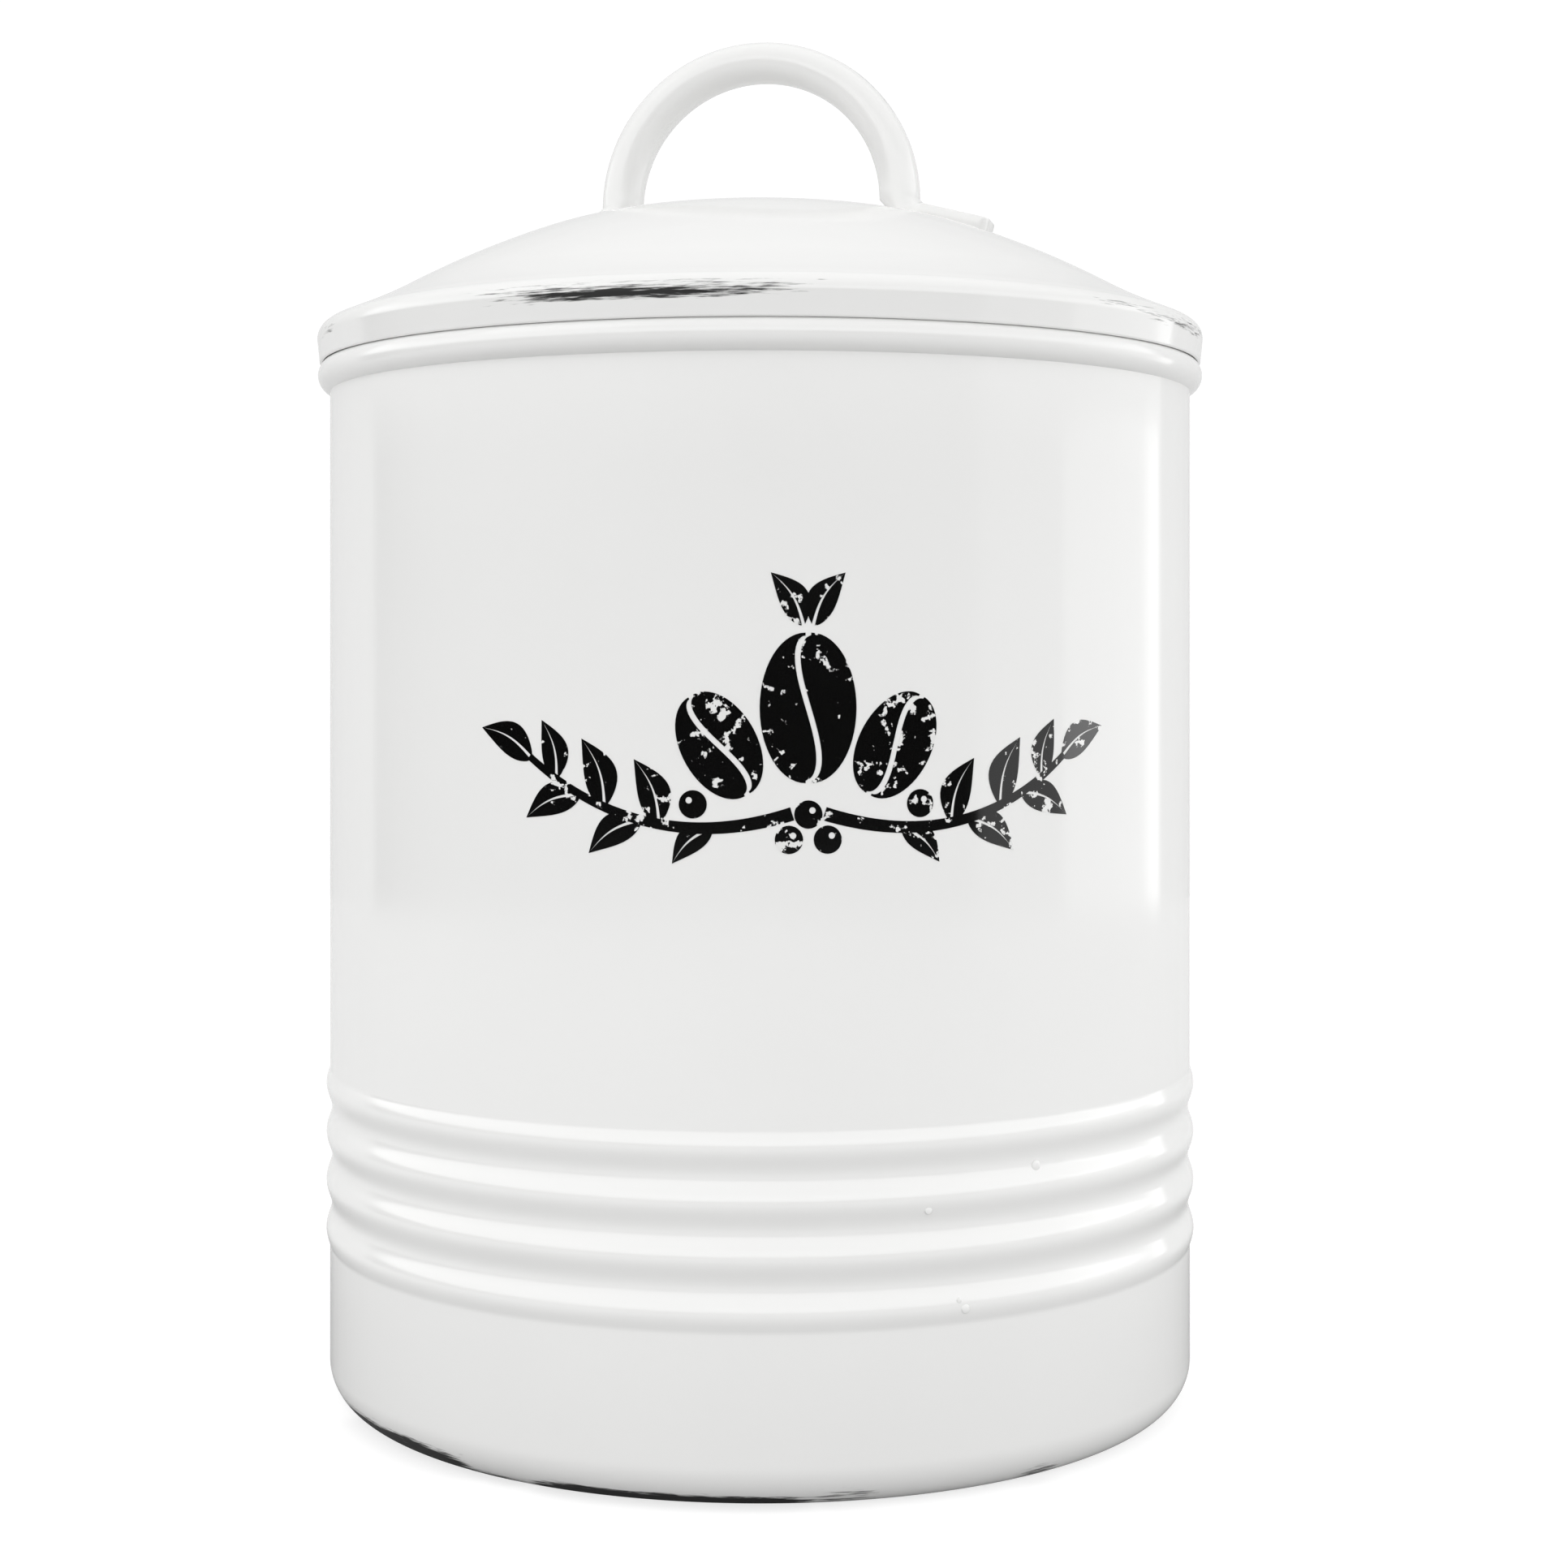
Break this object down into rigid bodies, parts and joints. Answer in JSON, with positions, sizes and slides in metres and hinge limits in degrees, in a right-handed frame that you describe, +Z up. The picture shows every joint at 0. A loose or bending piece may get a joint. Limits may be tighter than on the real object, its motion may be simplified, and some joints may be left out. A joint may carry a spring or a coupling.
{
  "type": "coffee tin",
  "caption": "Round enamelled steel storage canister with rolled ribs, a wired mouth and a domed lift-off lid with a seal and an arched handle",
  "frame": {"origin": "centre of the base, on the plane the tin stands on", "axes": "+Z up along the can's axis, -Y towards the decorated front, +X to the right as seen from the front"},
  "size_m": [0.1276, 0.1276, 0.195],
  "materials": {
    "white_enamel": "gloss white stoved enamel on sheet steel, worn to black at the rims",
    "bright_steel": "bare zinc-plated steel, satin",
    "seal_rubber": "translucent white silicone rubber, matte"
  },
  "bodies": {
    "can": {"can_shell": "white_enamel", "mouth_wire": "bright_steel"},
    "seal": {"lid_seal": "seal_rubber"},
    "lid": {"lid_dome": "white_enamel", "lid_collar": "bright_steel", "handle": "white_enamel"}
  },
  "joints": [
    {"name": "lid_lift", "type": "slide", "parent": "can", "child": "seal", "axis": [0, 0, 1], "range_m": [0, 0.06]},
    {"name": "lid_turn", "type": "hinge", "parent": "seal", "child": "lid", "pos_m": [0, 0, 0.15], "axis": [0, 0, 1], "continuous": true}
  ]
}
